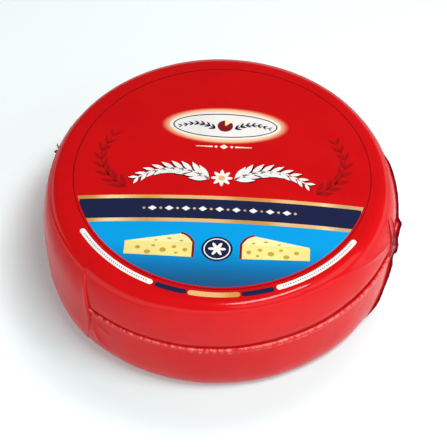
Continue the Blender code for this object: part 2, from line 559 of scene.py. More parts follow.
def chain(count, first=0):
    return [(first + i, first + i + 1) for i in range(count - 1)]


ALL_ROUTES = {**FIN_ROUTES, **PLEAT_ROUTES, **CREASE_ROUTES}
ROUTES = {name: smooth_route(stops) for name, stops in ALL_ROUTES.items()}
print("the routes have", {name: len(route) for name, route in ROUTES.items()}, "points")

# %% [markdown]
# ## Where folds lift the skin
#
# A crease is a sharp ridge in the film, and beside a fin the film is pulled up like a small
# tent. So the skins need to know how near the closest route is. All routes go into one helper
# mesh that lies on a flat map of the side: x is the distance along, y the height. Each point
# carries how high the film rises there and how wide the tent is.

# %% The map of the folds
FIN_TENT = (0.45, 0.0028)  # share of the fin's stand-off, and width
PLEAT_TENT = (0.5, 0.0022)
CREASE_TENT = (1.0, 0.0017)


def fold_map():
    points, edges, rises, widths = [], [], [], []
    for name, route in ROUTES.items():
        tent = CREASE_TENT
        if name in FIN_ROUTES:
            tent = FIN_TENT
        if name in PLEAT_ROUTES:
            tent = PLEAT_TENT
        edges += chain(len(route), len(points))
        points += [(x, height, 0.0) for x, height, stand_off in route]
        rises += [tent[0] * max(stand_off, 0.0) for x, height, stand_off in route]
        widths += [tent[1]] * len(route)
    return pattern_piece("fold_map", points, edges, {"rise": rises, "width": widths})


FOLDS = fold_map()


def tent_rise(tree, folds, distance, height):
    """How far the nearest fold lifts the film at a place on the side, as nodes."""
    lines = from_object(tree, folds)
    place = tree.point(distance, height, 0.0)
    sockets = {"Geometry": lines, "Sample Position": place}
    away = tree.node("GeometryNodeProximity", {"target_element": "EDGES"}, sockets, "Distance")
    nearest = tree.node("GeometryNodeSampleNearest", {"domain": "POINT"}, sockets)

    def there(label):
        settings = {"data_type": "FLOAT"}
        number = tree.node("GeometryNodeInputNamedAttribute", settings, {"Name": label})
        sampled = {"Geometry": lines, "Value": number, "Index": nearest}
        return tree.node("GeometryNodeSampleIndex", settings, sampled)

    return there("rise") * (-(away / there("width"))).math("EXPONENT")


print("the map of the folds has", len(FOLDS.data.vertices), "points")

# %% [markdown]
# ## A skin is turned like a pot
#
# To make a skin, a profile goes round the wheel. The profile is a row of points,
# each with a radius and a height, and a grid of columns and rows takes its points from it. Then
# the rule of the side moves each point: rows near the waist follow the seam, the outline goes
# out of round, folds lift the film, and the upper skin is drawn into the groove.
#
# A Screw modifier can turn a profile too, but every bend would then have to be made afterwards.
# The sums that each point needs of its own place are gathered in one small class.

# %% Columns and rows of a skin
class Skin:
    """What each point of a skin knows of its place, as nodes."""

    def __init__(self, tree, given):
        profile = from_object(tree, given["Profile"])
        count = {"Geometry": profile}
        size = {"component": "MESH"}
        rows = tree.node("GeometryNodeAttributeDomainSize", size, count, "Point Count")
        self.grid, across, down = unit_grid(tree, given["Columns"], rows)
        row = ((down + 0.5) * (rows - 1.0)).math("ROUND")
        place = tree.node("GeometryNodeInputPosition")
        sampled = {"Geometry": profile, "Value": place, "Index": row}
        vector = {"data_type": "FLOAT_VECTOR"}
        from_profile = tree.node("GeometryNodeSampleIndex", vector, sampled)
        self.radius, unused, self.level = tree.parts(from_profile)
        self.turn = across * (2 * math.pi)
        self.degrees = self.turn * (180 / math.pi)
        self.side = bulge_at(self.level) * SHOULDER + FLAT_RADIUS
        self.share = (self.radius / self.side).math("MINIMUM", 1.0)
        self.above = self.level - SEAM_HEIGHT
        self.rim = tree.point(self.turn.math("COSINE"), self.turn.math("SINE"), self.level * 2.0)

    def span(self, start, full, waning, end):
        """1 over a span of the turn, given in degrees, with smooth ends."""
        return self.degrees.between(start, full) * (1.0 - self.degrees.between(waning, end))


print("a skin reads its profile row by row")

# %% [markdown]
# ## What happens at the seam
#
# The seam's height wanders, so rows near it move up and down, and less so towards the top and
# the base. The upper sheet is drawn in just above the lip, deepest towards the right. Where the
# side panel bridges the waist there is no lip. At the front the lower sheet overlaps twice for
# a short way, and beside that its edge puckers into a fringe.

# %% Sums of the seam
SEAM_FOLLOW = 1.6
LIP_WIDTH = 0.0016
DEEPEST_TURN = math.radians(5)
PANEL_START = (156.0, 160.0)  # where the side panel takes over, in degrees of turn
PANEL_END = (-136.0, -132.0)
SECOND_LIP = (-82.0, -72.0, -60.0, -50.0)
SECOND_LIP_PLACE = (-0.0024, 0.0006)  # from the seam, and width
SECOND_LIP_FULL = 0.0009
FRINGE = (-98.0, -93.0, -84.0, -78.0)
FRINGE_PLACE = (-0.0018, 0.0022)
FRINGE_WRINKLES = 150.0
FRINGE_FULL = 0.0004
CLEAR_OF_BASE = 0.012


def seam_follow(skin):
    """How far each row goes up or down with the seam."""
    to_top = (HEIGHT - skin.level) / (HEIGHT - SEAM_HEIGHT)
    to_base = skin.level / SEAM_HEIGHT
    follow = (to_top.math("MINIMUM", to_base) * SEAM_FOLLOW).between(0.0, 1.0)
    return waves_at(skin.turn, SEAM_WAVES, node_cosine) * follow * skin.share * skin.share


def groove_depth(skin, given):
    swing = (skin.turn - DEEPEST_TURN).math("COSINE")
    rise = given["Groove Rise"] + given["Groove Rise Swing"] * swing
    depth = given["Groove Depth"] + given["Groove Depth Swing"] * swing
    beyond = (skin.above - rise).math("MAXIMUM", 0.0) / given["Groove Width"]
    return (-(beyond * beyond)).math("EXPONENT") * depth


def fringe_rise(tree, skin, given):
    wave = (skin.turn * FRINGE_WRINKLES + tree.noise(skin.rim, 9.0) * 14.0).math("SINE")
    return wave * skin.above.bell(*FRINGE_PLACE) * skin.span(*FRINGE) * given["Fringe"]


def slack_rise(tree, skin, given):
    below = skin.above.between(0.0, -CLEAR_OF_BASE)
    return tree.wobble(skin.rim, 5.5, 2.0) * below * given["Slackness"]


quarters = [waves_at(math.radians(turn), SEAM_WAVES) for turn in (0, 90, 180, 270)]
print("at each quarter turn the seam is off its height by", [round(off, 4) for off in quarters])

# %% [markdown]
# ## The skin machine
#
# The machine adds those sums to each point of the skin. It also marks every point with two
# numbers for its colour: a painted highlight along the crests of the lip, broken up by noise,
# and painted shade where it lies deep in the groove or tucked under the lip.

# %% The skin machine
HIGHLIGHT_BREAK_SCALE = 60.0
SHADE_PER_DEPTH = 2.2
SEW_WITHIN = 0.00002


def skin_machine():
    sizes = {
        "Columns": 900,
        "Groove Depth": 0.0011,
        "Groove Depth Swing": 0.0005,
        "Groove Rise": 0.0012,
        "Groove Rise Swing": 0.0012,
        "Groove Width": 0.0034,
        "Raggedness": 0.0,
        "Second Lip": 0.0,
        "Fringe": 0.0,
        "Slackness": 0.0,
        "Pale Edge": 0.0,
        "Fold Shade": 0.8,
    }
    tree, given = new_machine("film_skin", sizes, ("Profile", "Folds"))
    skin = Skin(tree, given)
    above, share = skin.above, skin.share
    distance = skin.turn * CREST_RADIUS
    ragged = tree.wobble(skin.rim, 34.0, 3.0, 0.62) * given["Raggedness"]
    at_lip = above.bell(0.0, LIP_WIDTH)
    height = skin.level + seam_follow(skin) + ragged * at_lip

    under_panel = skin.degrees.between(*PANEL_START) + 1.0 - skin.degrees.between(*PANEL_END)
    proud = skin.radius - skin.side
    out = proud.math("MINIMUM", 0.0) + proud.math("MAXIMUM", 0.0) * (1.0 - under_panel)
    groove = groove_depth(skin, given)
    second_lip = above.bell(*SECOND_LIP_PLACE) * skin.span(*SECOND_LIP) * given["Second Lip"]
    fringe = fringe_rise(tree, skin, given)
    low = skin.level.between(0.0, CLEAR_OF_BASE)
    relief = second_lip + fringe + slack_rise(tree, skin, given) * low - groove
    reach = out + (relief + ragged * at_lip * 0.6) * share
    tents = tent_rise(tree, given["Folds"], distance, height) * share * low
    position = on_side(tree, distance, height, Reach=reach, Stand_Off=tents, Share=share)

    # painted highlight along the crests of the lip, its second lip and its fringe, broken up by
    # noise
    highlight_breaks = tree.noise(skin.rim, HIGHLIGHT_BREAK_SCALE, 3.0, 0.7).between(0.42, 0.62)
    crest = above.bell(0.0005, 0.0006) * proud.between(-0.0006, 0.0002)
    crest = crest + second_lip / SECOND_LIP_FULL + fringe.math("MAXIMUM", 0.0) / FRINGE_FULL
    pale = crest * highlight_breaks * given["Pale Edge"] * (1.0 - under_panel)
    # painted shade where the upper sheet is tucked under the lip and deep in the groove
    tucked = (1.0 - proud.between(-0.0014, -0.0001)) * above.bell(0.0, 0.0025)
    shade = (tucked + groove / given["Groove Width"] * SHADE_PER_DEPTH) * given["Fold Shade"]
    sheet = marked(tree, marked(tree, skin.grid, "pale_edge", pale), "fold_shade", shade)
    sewn_sockets = {"Geometry": moved(tree, sheet, position), "Distance": SEW_WITHIN}
    sewn = tree.node("GeometryNodeMergeByDistance", {}, sewn_sockets)
    hand_over(tree, sewn, given["Material"], True)
    return tree


SKIN = skin_machine()
print("the skin machine has", len(SKIN.tree.nodes), "nodes")

# %% [markdown]
# ## The film's finish
#
# Shrink film is printed on its inner face, so the red lies under clear plastic: a coloured base
# with a glossy coat. On the wheel it is nowhere quite even. The print is a little denser in
# some places, and heat leaves a fine pebbling that softens the reflections. Both come from
# noise on the Object coordinates, so the pattern stays put on the wheel. The colours also hold
# painted light: painted shade in the groove, under the lip and towards the fins' free edges, and
# a painted highlight along the crests of the lip. The fins' and pleats' darker red is partly two
# layers of ink and partly painted shade.

# %% The film's material
CLEAR_FILM_SHINE = 0.02  # under the coat, so that the print stays deep
COAT_ROUGHNESS = 0.09
MOTTLE = 0.12
PEBBLE_DEPTH = 0.0006


def gloss_material(name, colour_of, roughness, coat, bump_strength):
    """Clear gloss over a colour. colour_of builds the colour from the tree and the place."""
    material = bpy.data.materials.new(name)
    material.use_nodes = True
    tree = Tree(material.node_tree)
    shader = material.node_tree.nodes["Principled BSDF"]
    place = tree.node("ShaderNodeTexCoord", output="Object")
    tree.plug(shader.inputs["Base Color"], colour_of(tree, place))
    mottle = tree.noise(place, 38.0, 3.0)
    tree.plug(shader.inputs["Roughness"], mottle * MOTTLE + (roughness - MOTTLE / 2))
    pebbles = tree.noise(place, 420.0, 2.0) * 0.35 + tree.noise(place, 95.0, 2.0)
    bump_sockets = {"Strength": bump_strength, "Distance": PEBBLE_DEPTH, "Height": pebbles}
    tree.plug(shader.inputs["Normal"], tree.node("ShaderNodeBump", {}, bump_sockets))
    even = {
        "Metallic": 0.0,
        "Specular IOR Level": CLEAR_FILM_SHINE,
        "Coat Weight": coat,
        "Coat Roughness": COAT_ROUGHNESS,
    }
    for label, value in even.items():
        shader.inputs[label].default_value = value
    return material


FILM_RED = (0.585, 0.005, 0.006, 1.0)
FILM_DEEP_RED = (0.55, 0.004, 0.006, 1.0)
# painted shade, the near black of the fins' free edges
FILM_EDGE_SHADE = (0.07, 0.003, 0.012, 1.0)
# partly two layers of ink, partly painted shade on the fins and pleats
FILM_DOUBLED_SHADED_RED = (0.42, 0.004, 0.008, 1.0)
FILM_DOUBLED_SHADED_DEEP = (0.24, 0.003, 0.008, 1.0)
FILM_SHADED_RED = (0.26, 0.003, 0.005, 1.0)
# painted highlight, the pink of the lip's crests
PAINTED_HIGHLIGHT_PINK = (0.88, 0.24, 0.20, 1.0)


def red_print(tree, place):
    density = tree.noise(place, 30.0, 3.0, 0.6)
    red = tree.blend(density.between(0.3, 0.7), FILM_RED, FILM_DEEP_RED)
    # painted shade in the groove and under the lip
    shade = tree.node("ShaderNodeAttribute", {"attribute_name": "fold_shade"}, output="Fac")
    folded = tree.blend(shade.between(0.0, 1.0), red, FILM_SHADED_RED)
    # painted highlight along the lip's crests
    edge = tree.node("ShaderNodeAttribute", {"attribute_name": "pale_edge"}, output="Fac")
    return tree.blend(edge.math("MINIMUM", 1.0), folded, PAINTED_HIGHLIGHT_PINK)


def doubled_shaded_print(tree, place):
    density = tree.noise(place, 160.0, 3.0, 0.6)
    doubled = tree.blend(density.between(0.35, 0.65), FILM_DOUBLED_SHADED_DEEP, FILM_DOUBLED_SHADED_RED)
    # painted shade towards the free edge of a fin or pleat
    edge = tree.node("ShaderNodeAttribute", {"attribute_name": "fold_shade"}, output="Fac")
    return tree.blend(edge.math("MINIMUM", 1.0), doubled, FILM_EDGE_SHADE)


RED_FILM = gloss_material("printed_film", red_print, 0.30, 0.35, 0.10)
DOUBLED_SHADED_FILM = gloss_material("doubled_film", doubled_shaded_print, 0.30, 0.30, 0.20)
print("made", RED_FILM.name, "and", DOUBLED_SHADED_FILM.name)

# %% [markdown]
# ## Profiles of the two skins
#
# Two sheets of film meet at the waist. The upper one covers the top and the bulge above the
# waist, and runs in under the edge of the lower one. The lower one covers the base, and its
# edge has rolled up into a small ragged lip. Each profile closes with a disc inside the wheel,
# so that each skin is a closed shell.

# %% Rows of the profiles, as (radius, height)
TOP_RADII = (0.0, 0.02, 0.045, 0.07, 0.09, 0.1, 0.105)
BASE_RADII = (0.105, 0.095, 0.08, 0.05, 0.0)
LIP_ROWS = (  # out from the side, and up from the seam
    (-0.0040, -0.0015),
    (-0.0032, 0.0005),
    (-0.0020, 0.0009),
    (-0.0010, 0.0010),
    (-0.0002, 0.0009),
    (0.0003, 0.00055),
    (0.00055, 0.0001),
    (0.0006, -0.0004),
    (0.0005, -0.0010),
    (0.00035, -0.0017),
    (0.0002, -0.0025),
    (0.00008, -0.0033),
    (0.0, -0.0042),
)
TUCK = 0.0040  # how far the upper sheet runs in under the lower one
WAIST_STEP = 0.00045
WAIST_TOP = SEAM_HEIGHT + 0.0125
LIP_END = SEAM_HEIGHT + LIP_ROWS[-1][1]
WAIST_BOTTOM = SEAM_HEIGHT - 0.016
INNER_DISC = (0.115, 0.09, 0.05, 0.0)
BULGE_ROWS = (44, 42)


def bulge_height(degrees):
    """The height at a step of the bulge, from 90 at the top to -90 at the base."""
    sine = math.sin(math.radians(degrees))
    return MIDDLE + MIDDLE * math.copysign(abs(sine) ** (2 / SQUARENESS), sine)


def bulge_step(height):
    lift = (height - MIDDLE) / MIDDLE
    return math.degrees(math.asin(math.copysign(abs(lift) ** (SQUARENESS / 2), lift)))


def spread(start, end, count):
    """Evenly spaced numbers from start to end, both included."""
    return [start + (end - start) * i / (count - 1) for i in range(count)]


def upper_profile():
    steps = spread(90.0, bulge_step(WAIST_TOP), BULGE_ROWS[0])
    heights = [bulge_height(degrees) for degrees in steps]
    waist_count = round((WAIST_TOP - SEAM_HEIGHT + TUCK) / WAIST_STEP)
    heights += spread(WAIST_TOP, SEAM_HEIGHT - TUCK, waist_count)[1:]
    rows = [(radius, HEIGHT) for radius in TOP_RADII]
    rows += [(side_radius(height), height) for height in heights]
    return rows + [(radius, heights[-1]) for radius in INNER_DISC]


def lower_profile():
    lip = [(SEAM_HEIGHT + up, side_radius(SEAM_HEIGHT + up) + out) for out, up in LIP_ROWS]
    heights = spread(LIP_END, WAIST_BOTTOM, 18)[1:]
    steps = spread(bulge_step(WAIST_BOTTOM), -90.0, BULGE_ROWS[1])[1:]
    heights += [bulge_height(degrees) for degrees in steps]
    rows = [(radius, lip[0][0]) for radius in reversed(INNER_DISC)]
    rows += [(radius, height) for height, radius in lip]
    rows += [(side_radius(height), height) for height in heights]
    return rows + [(radius, 0.0) for radius in BASE_RADII]


def profile_piece(name, rows):
    points = [(radius, 0.0, height) for radius, height in rows]
    return pattern_piece(name, points, chain(len(rows)))


UPPER_PROFILE = profile_piece("upper_profile", upper_profile())
LOWER_PROFILE = profile_piece("lower_profile", lower_profile())
print("upper rows:", len(UPPER_PROFILE.data.vertices))
print("lower rows:", len(LOWER_PROFILE.data.vertices))

# %% [markdown]
# ## The upper and the lower skin
#
# Both skins come from the one machine. Only the upper one is drawn into the groove, and only the
# lower one has the ragged lip, a short second lip where the sheet overlaps twice, the fringe of
# small wrinkles under it, and some slackness that facets its lower half.

# %% Make the skins
film_upper = run(SKIN, "film_upper", {
    "Profile": UPPER_PROFILE,
    "Folds": FOLDS,
    "Columns": 880,
    "Material": RED_FILM,
})
film_lower = run(SKIN, "film_lower", {
    "Profile": LOWER_PROFILE,
    "Folds": FOLDS,
    "Columns": 1100,
    "Groove Depth": 0.0,
    "Groove Depth Swing": 0.0,
    "Raggedness": 0.0011,
    "Second Lip": 0.0006,
    "Fringe": 0.00025,
    "Slackness": 0.0016,
    "Pale Edge": 1.0,
    "Material": RED_FILM,
})

# %% [markdown]
# ## The side panel
#
# At the left, one panel of film spans from the front crease to the back fin, and bridges the
# waist. It is a thin sheet laid over the two skins: a grid over a patch of the side, which
# stands a little proud. Its borders sink into the skins, and its front edge is pinched up into
# a ridge before it sinks. A sheet has two faces, so Solidify gives it a thickness.

# %% The panel machine
PER_DEGREE = math.radians(CREST_RADIUS)  # metres of the widest circle in one degree
BOW_MIDDLE, BOW_HALF = 0.050, 0.040
PINCH_PLACE = (0.056, 0.020)
SUNK = 0.0009
FRONT_RIM = 0.0011
RIM = 0.006


def panel_machine():
    sizes = {
        "Columns": 330,
        "Rows": 120,
        "Back Edge": 152.0,
        "Front Edge": 230.0,
        "Front Edge Bow": 4.0,
        "Wander": 1.6,
        "Low": 0.0022,
        "High": 0.0902,
        "Proud": 0.0006,
        "Ridge": 0.0017,
        "Ridge Width": 0.0022,
    }
    tree, given = new_machine("side_panel", sizes)
    grid, across, up = unit_grid(tree, given["Columns"], given["Rows"])
    height = given["Low"] + (given["High"] - given["Low"]) * (up + 0.5)
    bow = (height - BOW_MIDDLE) / BOW_HALF
    wander = tree.wobble(tree.point(0.0, 0.0, height), 70.0, 2.0) * given["Wander"]
    front = given["Front Edge"] - given["Front Edge Bow"] * bow * bow + wander
    back = given["Back Edge"]
    distance = (back + (front - back) * (across + 0.5)) * PER_DEGREE
    from_front = front * PER_DEGREE - distance
    from_back = distance - back * PER_DEGREE
    from_top = given["High"] - height
    from_base = height - given["Low"]
    rim = from_back.math("MINIMUM", from_top * 1.5).math("MINIMUM", from_base)
    cover = rim.between(0.0, RIM) * from_front.between(0.0, FRONT_RIM)
    behind_ridge = (from_front - FRONT_RIM).math("MAXIMUM", 0.0) / given["Ridge Width"]
    ridge = height.bell(*PINCH_PLACE) * given["Ridge"] * (-behind_ridge).math("EXPONENT")
    stand_off = (given["Proud"] + ridge + SUNK) * cover - SUNK
    position = on_side(tree, distance, height, Stand_Off=stand_off)
    hand_over(tree, moved(tree, grid, position), given["Material"], True)
    return tree


def thicken(piece, thickness, offset):
    sheet = piece.modifiers.new("thickness", "SOLIDIFY")
    sheet.thickness = thickness
    sheet.offset = offset
    flatten(piece)
    return piece


PANEL = panel_machine()
side_panel = run(PANEL, "side_panel", {"Material": RED_FILM})
thicken(side_panel, 0.0003, -1.0)

# %% [markdown]
# ## Fins and pleats
#
# A fin is two layers of film sealed together, which stand up from the side and lean over. A
# pleat is one loose fold pressed flat. Both are ribbons along a route: one long edge is rooted in
# the skin, and the other is free, so it ripples. The machine samples the route, and gives each
# cross row its stand-off, its lean and its ripple on the map of the side.

# %% The ribbon machine
CRUMPLE_SCALE = 210.0
EDGE_SCALE = 330.0
EDGE_SWING = 0.5
RIBBON_THICKNESS = 0.0004


def curve_of(tree, line):
    """The curve along a helper object's edges."""
    return tree.node("GeometryNodeMeshToCurve", {}, {"Mesh": from_object(tree, line)})


def ribbon_machine():
    sizes = {
        "Samples": 240,
        "Rows": 9,
        "Root": 0.0016,
        "Lean": 0.002,
        "Ripple": 0.0006,
        "Ripple Pitch": 0.011,
        "Crumple": 0.0012,
        "Seed Shift": 0.0,
        "Dark Edge": 0.7,
    }
    tree, given = new_machine("film_ribbon", sizes, ("Route",))
    curve = curve_of(tree, given["Route"])
    length = tree.node("GeometryNodeCurveLength", {}, {"Curve": curve})
    grid, across, up = unit_grid(tree, given["Samples"], given["Rows"])
    share = across + 0.5
    free = up + 0.5
    sampled = {"Curves": curve, "Factor": share}
    place = tree.node("GeometryNodeSampleCurve", {"mode": "FACTOR"}, sampled, "Position")
    along_x, height, stand_off = tree.parts(place)
    ahead_x, ahead_y, ahead_z = tree.parts(place.beside("Tangent"))
    travelled = share * length
    wave = (travelled * (2 * math.pi) / given["Ripple Pitch"] + given["Seed Shift"]).math("SINE")
    spot = tree.point(travelled, free * 0.004, given["Seed Shift"])
    crumple = tree.wobble(spot, CRUMPLE_SCALE, 3.0, 0.6) * given["Crumple"] * 2.0
    edge_spot = tree.point(travelled, 0.0, given["Seed Shift"])
    edge = tree.wobble(edge_spot, EDGE_SCALE, 2.0) * EDGE_SWING + 1.0
    fullness = stand_off.between(-0.0004, 0.0022)
    lean = given["Lean"] * free * free * fullness
    shift = lean + (wave * given["Ripple"] + crumple) * free * fullness
    rise = (stand_off * edge + given["Root"]) * free - given["Root"]
    aside, above = along_x - ahead_y * shift, height + ahead_x * shift
    position = on_side(tree, aside, above, Stand_Off=rise)
    # painted shade darkens the free edge
    edged = marked(tree, grid, "fold_shade", free.between(0.72, 0.95) * given["Dark Edge"])
    hand_over(tree, moved(tree, edged, position), given["Material"], True)
    return tree


RIBBON = ribbon_machine()


def make_ribbon(name, route, values):
    line = pattern_piece("route", ROUTES[route], chain(len(ROUTES[route])))
    piece = run(RIBBON, name, {"Route": line, "Material": DOUBLED_SHADED_FILM, **values})
    discard(line)
    return thicken(piece, RIBBON_THICKNESS, 0.0)


# the last column says how dark the painted shade on the free edge is
RIBBONS = (  # name, route, lean at the free edge, seed shift, how dark that edge is
    ("right_fin", "right_fin", -0.0022, 0.0, 1.0),
    ("right_fin_inner", "right_fin", 0.0030, 2.1, 0.7),
    ("right_pleat_outer", "right_pleat_outer", 0.0028, 0.7, 0.7),
    ("right_pleat_inner", "right_pleat_inner", 0.0030, 3.3, 0.7),
    ("back_fin", "back_fin", 0.0024, 1.3, 0.7),
    ("back_fin_inner", "back_fin", -0.0030, 4.4, 0.7),
    ("back_pleat_outer", "back_pleat_outer", -0.0028, 5.2, 0.7),
    ("back_pleat_inner", "back_pleat_inner", -0.0030, 6.1, 0.7),
)
ribbons = []
for name, route, lean, shift, dark in RIBBONS:
    values = {"Lean": lean, "Seed Shift": shift, "Dark Edge": dark}
    ribbons.append(make_ribbon(name, route, values))

# %% [markdown]
# ## Printing on the top
#
# The label is printed flat on the film's top. In a real press each ink is one solid shape, laid
# down in turn, so the label is built in the same way: every ink is a sheet a few hundredths of a
# millimetre thick, and later inks lie a step higher. An image would be quicker, but shapes stay
# sharp at any size. Outlines are written in millimetres on the label: x to the reader's right,
# y away from the reader.

# %% Outlines in millimetres
MM = 0.001
LABEL_SHIFT = 2.0
RING_RADIUS = 104.0
FIELD_RADIUS = 102.2


def arc(radius, start, end, steps, middle=(0.0, 0.0)):
    turns = spread(math.radians(start), math.radians(end), steps)
    return [(middle[0] + radius * math.cos(t), middle[1] + radius * math.sin(t)) for t in turns]


def oval(middle, half_width, half_height, steps=64):
    circle = arc(1.0, 0.0, 360.0, steps + 1)[:-1]
    return [(middle[0] + half_width * x, middle[1] + half_height * y) for x, y in circle]


def mirrored(points):
    return [(-x, y) for x, y in points]


def both_sides(loops):
    return loops + [mirrored(loop) for loop in loops]


def shifted(points, x, y):
    return [(px + x, py + y) for px, py in points]


def smooth_line(stops, steps=14):
    return [tuple(point) for point in smooth_curve(stops, lambda start, end: steps)]


def stroke(line, start_width, end_width):
    """The outline of a line drawn with a pen that narrows from one width to another."""
    left, right = [], []
    last = len(line) - 1
    for i, (x, y) in enumerate(line):
        ahead = line[min(i + 1, last)]
        behind = line[max(i - 1, 0)]
        dx, dy = ahead[0] - behind[0], ahead[1] - behind[1]
        length = math.hypot(dx, dy)
        half = (start_width + (end_width - start_width) * i / last) / 2
        left.append((x - dy / length * half, y + dx / length * half))
        right.append((x + dy / length * half, y - dx / length * half))
    return left + right[::-1]


def in_ring(upper, lower, reach=FIELD_RADIUS, steps=260):
    """What lies between two curves inside the label's ring, as one outline."""
    top, bottom = [], []
    for x in spread(-reach, reach, steps):
        rim = -math.sqrt(max(0.0, reach * reach - x * x))
        low = max(lower(x), rim)
        if upper(x) > low + 0.01:
            top.append((x, upper(x)))
            bottom.append((x, low))
    return top + bottom[::-1]


print("a circle of the ring's size has", len(oval((0, 0), RING_RADIUS, RING_RADIUS)), "points")

# %% [markdown]
# ## The press
#
# One machine fills outlines and gives the ink its thickness. Fill Curve takes several closed
# outlines at once, and one inside another is a hole. The sheet's underside lies in the film,
# so every shape is a closed solid, however thin.

# %% The press machine
INK_STEP = 0.00003
WELD_WITHIN = 0.000002


def press_machine():
    sizes = {"Base Height": HEIGHT, "Level": 2 * INK_STEP, "Depth": INK_STEP}
    tree, given = new_machine("press", sizes, ("Outline",))
    outlines = {"Curve": curve_of(tree, given["Outline"])}
    filled = tree.node("GeometryNodeFillCurve", {"mode": "TRIANGLES"}, outlines)
    down = tree.point(0.0, 0.0, given["Base Height"] - given["Depth"])
    sunk = tree.node("GeometryNodeTransform", {}, {"Geometry": filled, "Translation": down})
    upwards = {
        "Mesh": sunk,
        "Offset": (0.0, 0.0, 1.0),
        "Offset Scale": given["Level"] + given["Depth"],
        "Individual": False,
    }
    raised = tree.node("GeometryNodeExtrudeMesh", {"mode": "FACES"}, upwards)
    under = tree.node("GeometryNodeFlipFaces", {}, {"Mesh": sunk})
    joined = tree.add("GeometryNodeJoinGeometry")
    for side in (raised, under):
        tree.plug(joined.inputs["Geometry"], side)
    both = {"Geometry": Value(tree, joined.outputs["Geometry"]), "Distance": WELD_WITHIN}
    welded = tree.node("GeometryNodeMergeByDistance", {}, both)
    hand_over(tree, welded, given["Material"], False)
    return tree


PRESS = press_machine()


def outline_piece(loops, height=0.0, closed=True):
    points, edges = [], []
    for loop in loops:
        first = len(points)
        points += [((x + LABEL_SHIFT) * MM, y * MM, height) for x, y in loop]
        edges += chain(len(loop), first)
        if closed:
            edges.append((len(points) - 1, first))
    return pattern_piece("outline", points, edges)


def press(name, loops, level, ink):
    """Prints outlines in one ink. The level counts the inks that lie under it."""
    outline = outline_piece(loops)
    values = {"Outline": outline, "Level": (level + 1) * INK_STEP, "Material": ink}
    piece = run(PRESS, name, values)
    discard(outline)
    return piece


print("the press machine has", len(PRESS.tree.nodes), "nodes")

# %% [markdown]
# ## A stamp along a path
#
# The ring's dashes, the leaves of a sprig and the beads of a border are one small shape, set
# again and again along a path. The stamping machine spaces points along the path, turns a copy of
# the stamp to face along it, and lets its size change from the first to the last. For a sprig
# it sets a second copy, leaning to the other side.

# %% The stamping machine
def stamp_machine():
    sizes = {"Count": 12, "First Size": 1.0, "Last Size": 1.0, "Lean": 0.0, "Second Side": 0}
    tree, given = new_machine("stamp_along_path", sizes, ("Path", "Stamp"))
    spaced = {"Curve": curve_of(tree, given["Path"]), "Count": given["Count"]}
    points = tree.node("GeometryNodeCurveToPoints", {"mode": "COUNT"}, spaced, "Points")
    ahead_x, ahead_y, ahead_z = tree.parts(points.beside("Tangent"))
    heading = ahead_y.math("ARCTAN2", ahead_x)
    share = tree.node("GeometryNodeInputIndex") / (given["Count"] - 1.0).math("MAXIMUM", 1.0)
    size = given["First Size"] + (given["Last Size"] - given["First Size"]) * share
    stamp = from_object(tree, given["Stamp"])
    joined = tree.add("GeometryNodeJoinGeometry")
    for side, wanted in ((1.0, True), (-1.0, given["Second Side"])):
        copies = tree.node("GeometryNodeInstanceOnPoints", {}, {
            "Points": points,
            "Selection": wanted,
            "Instance": stamp,
            "Rotation": tree.point(0.0, 0.0, heading + given["Lean"] * side),
            "Scale": tree.point(size, size, 1.0),
        })
        tree.plug(joined.inputs["Geometry"], copies)
    all_copies = Value(tree, joined.outputs["Geometry"])
    hand_over(tree, all_copies, given["Material"], False)
    return tree


STAMPER = stamp_machine()


def stamp_shape(loop, level, ink):
    """A stamp: one small outline, inked, lying at the origin and pointing along x."""
    outline = outline_piece([shifted(loop, -LABEL_SHIFT, 0.0)])
    values = {"Outline": outline, "Base Height": 0.0, "Level": (level + 1) * INK_STEP}
    stamp = run(PRESS, "stamp", {**values, "Material": ink})
    discard(outline)
    return stamp


def stamp_along(name, loop, path, level, ink, values, closed=False):
    stamp = stamp_shape(loop, level, ink)
    line = outline_piece([path], HEIGHT, closed)
    piece = run(STAMPER, name, {"Path": line, "Stamp": stamp, "Material": ink, **values})
    discard(stamp, line)
    return piece


def joined(name, pieces):
    """Several prints of one ink as one piece."""
    sheet = bmesh.new()
    for piece in pieces:
        sheet.from_mesh(piece.data)
    mesh = bpy.data.meshes.new(name)
    sheet.to_mesh(mesh)
    sheet.free()
    mesh.materials.append(pieces[0].data.materials[0])
    discard(*pieces)
    return link(name, mesh)


print("the stamping machine has", len(STAMPER.tree.nodes), "nodes")

# %% [markdown]
# ## Inks
#
# Each ink is the film's gloss over a colour of its own. Printed gold is a brown and a cream
# that change along the stripe. The blue field darkens towards the reader, as a printed sky
# does, and the pale plaque has a soft glow round it.

# %% Mix the inks
def plain(colour):
    """Even ink, but for a slight change in density."""
    deeper = tuple(value * 0.88 for value in colour[:3]) + (1.0,)

    def colour_of(tree, place):
        return tree.blend(tree.noise(place, 22.0, 3.0).between(0.3, 0.7), colour, deeper)

    return colour_of


def gold_print(tree, place):
    x, y, z = tree.parts(place)
    wave = tree.noise(tree.point(x, 0.0, 0.0), 17.0, 1.0)
    stops = (
        (0.30, (0.30, 0.17, 0.07)),
        (0.45, (0.62, 0.30, 0.07)),
        (0.56, (0.86, 0.62, 0.30)),
        (0.70, (0.42, 0.27, 0.11)),
    )
    return tree.node("ShaderNodeValToRGB", {"stops": stops}, {"Fac": wave})


SKY_TURNS_DARK = -0.078
SKY_FADE = 0.026


def sky_print(tree, place):
    x, y, z = tree.parts(place)
    near = (SKY_TURNS_DARK - y) / SKY_FADE
    stops = ((0.0, (0.003, 0.32, 0.72)), (0.55, (0.006, 0.17, 0.42)), (1.0, (0.014, 0.085, 0.20)))
    return tree.node("ShaderNodeValToRGB", {"stops": stops}, {"Fac": near.between(-0.6, 1.0)})


